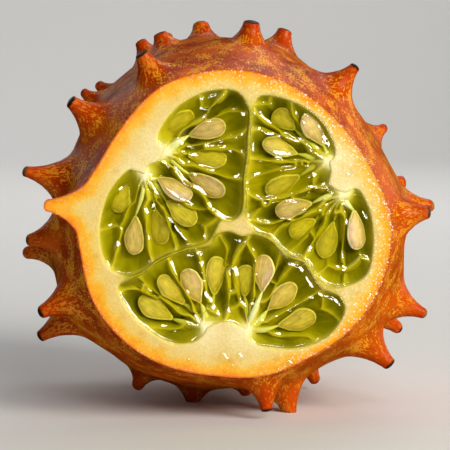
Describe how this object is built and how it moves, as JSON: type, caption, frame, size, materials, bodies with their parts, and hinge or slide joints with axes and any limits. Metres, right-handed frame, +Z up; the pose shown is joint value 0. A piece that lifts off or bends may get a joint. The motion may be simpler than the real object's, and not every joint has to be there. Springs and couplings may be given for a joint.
{
  "type": "cut half of a horned melon",
  "caption": "Half of a horned melon, cut across, with a thick horned rind, lobes of clear jelly and flat seeds on stalks. It rests on its horns.",
  "frame": {"origin": "on the surface it rests on, under the middle of its bounding box", "axes": "+Z up, the fruit's long axis along Y, and the cut face towards -Y"},
  "size_m": [0.0874, 0.077, 0.0812],
  "materials": {
    "rind": "waxy orange skin mottled with fine ochre streaks, moist cream flesh on the cut",
    "jelly": "clear wet olive-green jelly",
    "seed": "smooth cream seeds with a wet film of jelly"
  },
  "bodies": {
    "root": {"rind": "rind", "jelly_left": "jelly", "jelly_bottom": "jelly", "jelly_right": "jelly", "seeds_left": "seed", "seeds_bottom": "seed", "seeds_right": "seed"}
  },
  "joints": []
}
